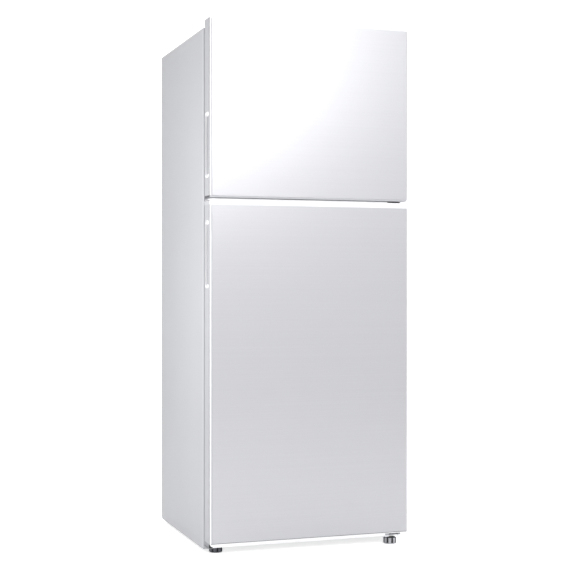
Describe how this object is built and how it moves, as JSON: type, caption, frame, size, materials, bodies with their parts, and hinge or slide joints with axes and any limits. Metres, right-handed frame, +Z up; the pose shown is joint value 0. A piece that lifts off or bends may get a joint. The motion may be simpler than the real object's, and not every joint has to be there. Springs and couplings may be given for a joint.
{
  "type": "top freezer refrigerator",
  "caption": "Free-standing household refrigerator with a freezer compartment above the fresh food compartment, doors hinged on the right with side finger recesses, and levelling feet.",
  "frame": {"origin": "on the floor under the middle of the whole outline", "axes": "+Z up, doors face -Y, hinges at +X"},
  "size_m": [0.7, 0.664, 1.75],
  "materials": {
    "body_paint": "satin",
    "door_panel": "satin, fine brushed pattern",
    "galvanised": "matt zinc",
    "foam": "rigid foam",
    "liner_white": "satin",
    "white_plastic": "satin",
    "trim_white": "satin",
    "body_plastic": "satin",
    "black_steel": "satin",
    "grey_steel": "satin",
    "zinc": "zinc plated",
    "compressor_black": "gloss",
    "condenser_black": "satin",
    "pan_plastic": "matt",
    "evaporator_aluminium": "bare",
    "motor_black": "matt",
    "fan_plastic": "matt",
    "tray_grey": "satin",
    "clear_plastic": "clear",
    "shelf_trim": "satin",
    "shelf_glass": "clear",
    "lamp_lens": "diffusing",
    "knob_grey": "satin",
    "seal_grey": "matt",
    "foot_black": "matt",
    "roller_black": "matt"
  },
  "bodies": {
    "cabinet": {"side_panel_left": "body_paint", "side_panel_right": "body_paint", "top_panel": "body_paint", "back_panel": "galvanised", "bottom_panel": "galvanised", "cabinet_foam": "foam", "freezer_liner": "liner_white", "fridge_liner": "liner_white", "mullion_cover": "body_paint", "hinge_upper": "grey_steel", "hinge_middle": "black_steel", "hinge_lower": "grey_steel", "hinge_cover": "body_plastic", "fasteners": "zinc", "base_plate": "galvanised", "compressor": "compressor_black", "condenser_coil": "condenser_black", "drain_pan": "pan_plastic", "rear_grille": "galvanised", "evaporator": "evaporator_aluminium", "evaporator_cover": "white_plastic", "fan_motor": "motor_black", "ice_maker_frame": "white_plastic", "shelf_frames": "shelf_trim", "shelf_glasses": "shelf_glass", "rear_duct_cover": "white_plastic", "control_housing": "white_plastic", "lamp_lens": "lamp_lens"},
    "freezer_door": {"freezer_door_panel": "door_panel", "freezer_door_side_trim": "trim_white", "freezer_door_handle_cup": "trim_white", "freezer_door_top_cap": "trim_white", "freezer_door_bottom_cap": "trim_white", "freezer_door_liner": "liner_white", "freezer_door_foam": "foam", "freezer_door_seal": "seal_grey"},
    "fridge_door": {"fridge_door_panel": "door_panel", "fridge_door_side_trim": "trim_white", "fridge_door_handle_cup": "trim_white", "fridge_door_top_cap": "trim_white", "fridge_door_bottom_cap": "trim_white", "fridge_door_liner": "liner_white", "fridge_door_foam": "foam", "fridge_door_seal": "seal_grey"},
    "freezer_bin_lower": {"freezer_door_bin_lower": "clear_plastic"},
    "freezer_bin_upper": {"freezer_door_bin_upper": "clear_plastic"},
    "fridge_bin_lower": {"fridge_door_bin_lower": "clear_plastic"},
    "fridge_bin_middle": {"fridge_door_bin_middle": "clear_plastic"},
    "fridge_bin_upper": {"fridge_door_bin_upper": "clear_plastic"},
    "crisper": {"crisper_drawer": "clear_plastic"},
    "fresh_room": {"fresh_drawer": "clear_plastic"},
    "ice_bucket": {"ice_bin": "clear_plastic"},
    "ice_tray_l": {"ice_tray_left": "tray_grey"},
    "ice_tray_r": {"ice_tray_right": "tray_grey"},
    "fan": {"fan_blade": "fan_plastic"},
    "thermostat_knob": {"temperature_knob": "knob_grey"},
    "foot_l": {"foot_left": "foot_black"},
    "foot_r": {"foot_right": "foot_black"},
    "roller_l": {"roller_left": "roller_black"},
    "roller_r": {"roller_right": "roller_black"}
  },
  "joints": [
    {"name": "freezer_door_hinge", "type": "hinge", "parent": "cabinet", "child": "freezer_door", "pos_m": [0.328, -0.3, 1.46], "axis": [0, 0, 1], "range_deg": [0, 120]},
    {"name": "fridge_door_hinge", "type": "hinge", "parent": "cabinet", "child": "fridge_door", "pos_m": [0.328, -0.3, 0.6], "axis": [0, 0, 1], "range_deg": [0, 120]},
    {"name": "crisper_slide", "type": "slide", "parent": "cabinet", "child": "crisper", "axis": [0, -1, 0], "range_m": [0, 0.17]},
    {"name": "fresh_room_slide", "type": "slide", "parent": "cabinet", "child": "fresh_room", "axis": [0, -1, 0], "range_m": [0, 0.22]},
    {"name": "ice_bucket_slide", "type": "slide", "parent": "cabinet", "child": "ice_bucket", "axis": [0, -1, 0], "range_m": [0, 0.2]},
    {"name": "freezer_bin_lower_lift", "type": "slide", "parent": "freezer_door", "child": "freezer_bin_lower", "axis": [0, 0, 1], "range_m": [0, 0.03]},
    {"name": "freezer_bin_upper_lift", "type": "slide", "parent": "freezer_door", "child": "freezer_bin_upper", "axis": [0, 0, 1], "range_m": [0, 0.03]},
    {"name": "fridge_bin_lower_lift", "type": "slide", "parent": "fridge_door", "child": "fridge_bin_lower", "axis": [0, 0, 1], "range_m": [0, 0.03]},
    {"name": "fridge_bin_middle_lift", "type": "slide", "parent": "fridge_door", "child": "fridge_bin_middle", "axis": [0, 0, 1], "range_m": [0, 0.03]},
    {"name": "fridge_bin_upper_lift", "type": "slide", "parent": "fridge_door", "child": "fridge_bin_upper", "axis": [0, 0, 1], "range_m": [0, 0.03]},
    {"name": "ice_tray_l_twist", "type": "hinge", "parent": "cabinet", "child": "ice_tray_l", "pos_m": [-0.208, 0.031, 1.388], "axis": [0, 1, 0], "range_deg": [0, 110], "stiffness_Nm_per_rad": 0.12},
    {"name": "ice_tray_r_twist", "type": "hinge", "parent": "cabinet", "child": "ice_tray_r", "pos_m": [-0.112, 0.031, 1.388], "axis": [0, 1, 0], "range_deg": [0, 110], "stiffness_Nm_per_rad": 0.12},
    {"name": "fan_spin", "type": "hinge", "parent": "cabinet", "child": "fan", "pos_m": [0, 0.224, 1.56], "axis": [0, 1, 0], "continuous": true},
    {"name": "thermostat_turn", "type": "hinge", "parent": "cabinet", "child": "thermostat_knob", "pos_m": [0.11, -0.187, 1.108], "axis": [0, 1, 0], "range_deg": [-135, 135]},
    {"name": "foot_l_screw", "type": "slide", "parent": "cabinet", "child": "foot_l", "axis": [0, 0, 1], "range_m": [-0.012, 0]},
    {"name": "foot_r_screw", "type": "slide", "parent": "cabinet", "child": "foot_r", "axis": [0, 0, 1], "range_m": [-0.004, 0]},
    {"name": "roller_l_spin", "type": "hinge", "parent": "cabinet", "child": "roller_l", "pos_m": [-0.3, 0.29, 0.018], "axis": [1, 0, 0], "continuous": true},
    {"name": "roller_r_spin", "type": "hinge", "parent": "cabinet", "child": "roller_r", "pos_m": [0.3, 0.29, 0.018], "axis": [1, 0, 0], "continuous": true}
  ],
  "couplings": [
    {"joint": "crisper_slide", "follows": "fridge_door_hinge", "m_per_rad": 0.0811},
    {"joint": "fresh_room_slide", "follows": "fridge_door_hinge", "m_per_rad": 0.105},
    {"joint": "ice_bucket_slide", "follows": "freezer_door_hinge", "m_per_rad": 0.0954}
  ]
}
